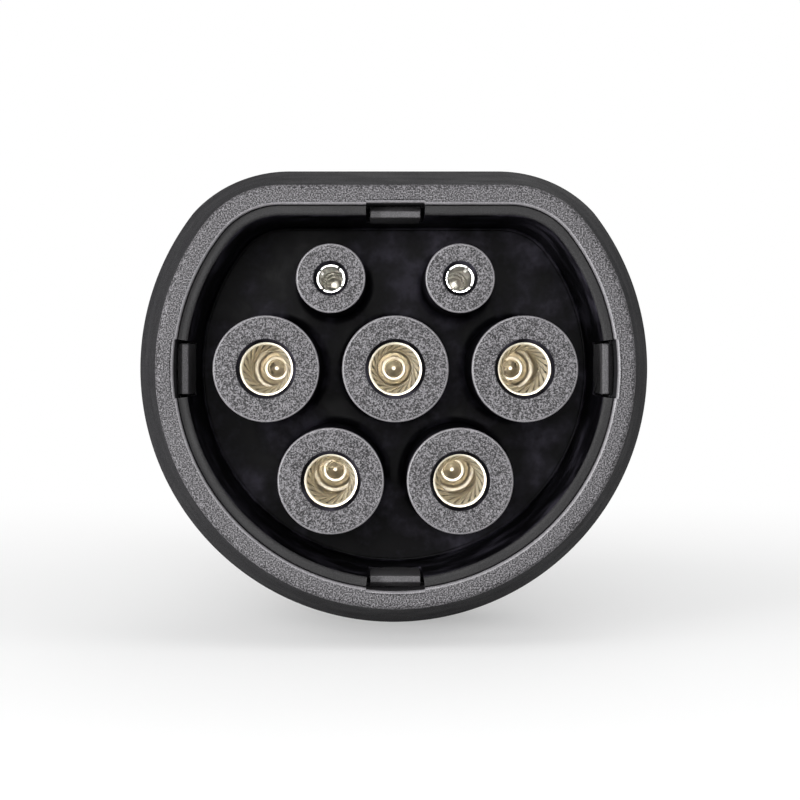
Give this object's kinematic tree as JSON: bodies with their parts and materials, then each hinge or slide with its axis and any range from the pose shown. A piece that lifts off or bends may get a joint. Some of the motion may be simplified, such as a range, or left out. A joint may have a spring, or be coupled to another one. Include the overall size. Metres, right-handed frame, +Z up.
{
  "type": "ev charging plug",
  "caption": "Hand-held AC vehicle charging connector with a D-shaped nose, shrouded socket contacts, a drooping handle with a rubber grip, and a cable gland.",
  "frame": {"origin": "the earth socket's axis where it meets the plane of the nose's rim", "axes": "+Y from the rim into the nose and back towards the handle and gland, along the sockets' axes; +Z up, towards the flat of the D; the handle droops from Y by 7.44 degrees"},
  "size_m": [0.0704, 0.1936, 0.0633],
  "materials": {
    "shroud_plastic": "fine spark-eroded grain",
    "insert_plastic": "satin",
    "contact_metal": "silver plated copper alloy, slightly warm",
    "lamella_metal": "pale gold plated",
    "pilot_metal": "silver plated, bright",
    "spring_steel": "bright",
    "retainer_plastic": "glass-filled, dull",
    "board": "laminate with lacquer",
    "resistor": "lacquered body with tinned leads",
    "seal_rubber": "smooth",
    "handle_plastic": "fine spark-eroded grain",
    "grip_rubber": "dull",
    "clamp_plastic": "satin",
    "gland_plastic": "satin",
    "screw_steel": "zinc plated"
  },
  "bodies": {
    "root": {"front_shroud": "shroud_plastic", "contact_insert": "insert_plastic", "socket_l1": "contact_metal", "socket_earth": "contact_metal", "socket_neutral": "contact_metal", "socket_l2": "contact_metal", "socket_l3": "contact_metal", "lamella_cage_l1": "lamella_metal", "lamella_cage_earth": "lamella_metal", "lamella_cage_neutral": "lamella_metal", "lamella_cage_l2": "lamella_metal", "lamella_cage_l3": "lamella_metal", "socket_control_pilot": "pilot_metal", "socket_proximity_pilot": "pilot_metal", "ring_spring_control_pilot": "spring_steel", "ring_spring_proximity_pilot": "spring_steel", "contact_retainer": "retainer_plastic", "coding_board": "board", "coding_resistor": "resistor", "flange_gasket": "seal_rubber", "gland_seal": "seal_rubber", "housing_upper": "handle_plastic", "housing_lower": "handle_plastic", "grip_sleeve": "grip_rubber", "cord_clamp": "clamp_plastic", "gland_claw": "clamp_plastic", "gland_body": "gland_plastic", "gland_nut": "gland_plastic", "retainer_screws": "screw_steel", "housing_screws": "screw_steel", "cord_clamp_screws": "screw_steel"}
  },
  "joints": []
}
